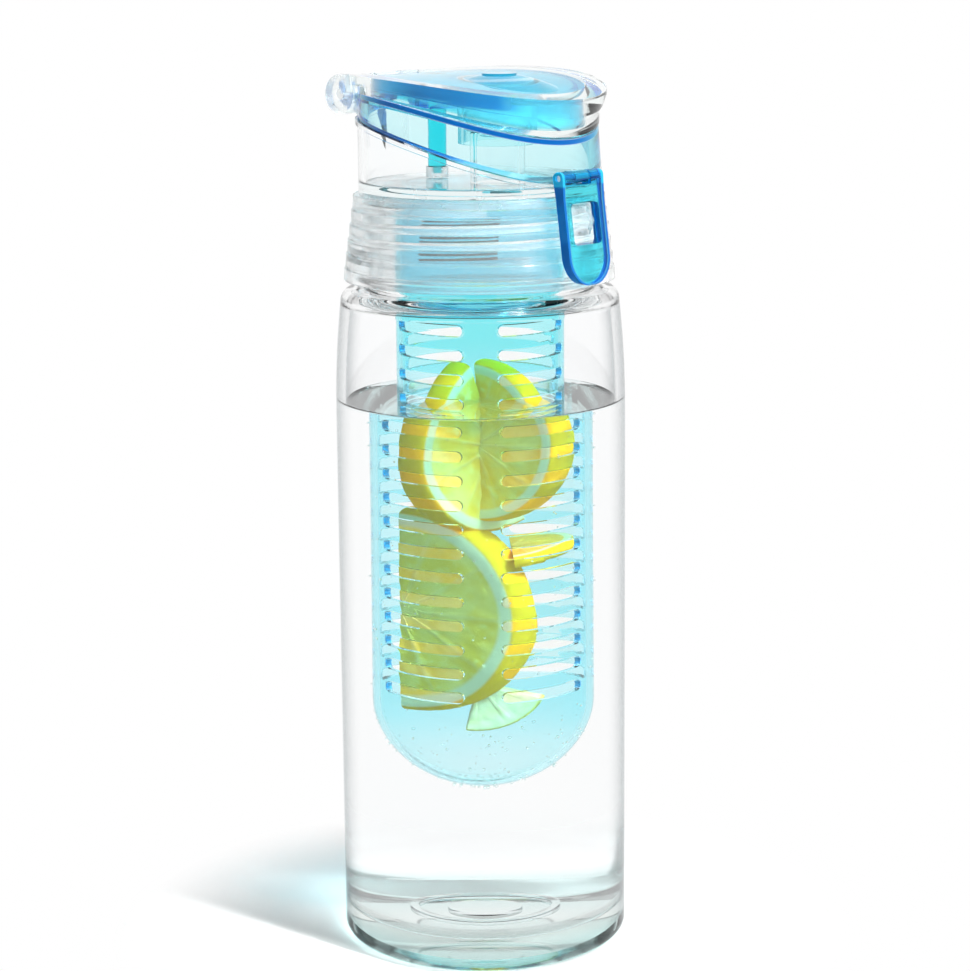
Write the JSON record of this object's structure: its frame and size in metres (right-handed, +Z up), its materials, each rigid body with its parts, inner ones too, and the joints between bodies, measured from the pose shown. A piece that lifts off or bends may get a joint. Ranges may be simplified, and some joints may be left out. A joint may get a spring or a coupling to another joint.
{
  "type": "fruit infuser water bottle",
  "caption": "Clear cylindrical water bottle with a ribbed screw collar, a slotted infuser basket inside, a flip lid with a carry ring and a front latch.",
  "frame": {"origin": "centre of the flat foot of the bottle, on the bottle's axis", "axes": "+Z up along the bottle's axis, -Y towards the latch at the front, +Y towards the hinge of the lid, +X to the right seen from the front"},
  "size_m": [0.075, 0.0796, 0.2276],
  "materials": {
    "clear_body": "clear gloss copolyester",
    "clear_collar": "clear gloss, faintly milky",
    "pale_blue_basket": "translucent pale blue gloss",
    "blue_lid": "translucent turquoise blue gloss",
    "silicone": "matt translucent white silicone",
    "pin_steel": "plain drawn wire"
  },
  "bodies": {
    "bottle": {"bottle_body": "clear_body"},
    "collar": {"screw_collar": "clear_collar", "collar_seal": "silicone", "lid_hinge_pin": "pin_steel"},
    "infuser": {"infuser_basket": "pale_blue_basket"},
    "lid": {"flip_lid": "blue_lid", "spout_plug": "silicone", "vent_pad": "silicone", "latch_pin": "pin_steel"},
    "ring": {"carry_ring": "clear_collar"},
    "clasp": {"latch": "blue_lid"}
  },
  "joints": [
    {"name": "collar_lift_off", "type": "slide", "parent": "bottle", "child": "collar", "axis": [0, 0, 1], "range_m": [0, 0.165]},
    {"name": "infuser_pull_down", "type": "slide", "parent": "collar", "child": "infuser", "axis": [0, 0, -1], "range_m": [0, 0.02]},
    {"name": "lid_flip", "type": "hinge", "parent": "collar", "child": "lid", "pos_m": [0, 0.0365, 0.2215], "axis": [-1, 0, 0], "range_deg": [0, 110]},
    {"name": "carry_ring_swing", "type": "hinge", "parent": "lid", "child": "ring", "pos_m": [0, 0.0365, 0.2215], "axis": [-1, 0, 0], "range_deg": [0, 90]},
    {"name": "latch_release", "type": "hinge", "parent": "lid", "child": "clasp", "pos_m": [0, -0.0333, 0.203], "axis": [-1, 0, 0], "range_deg": [0, 95]}
  ]
}
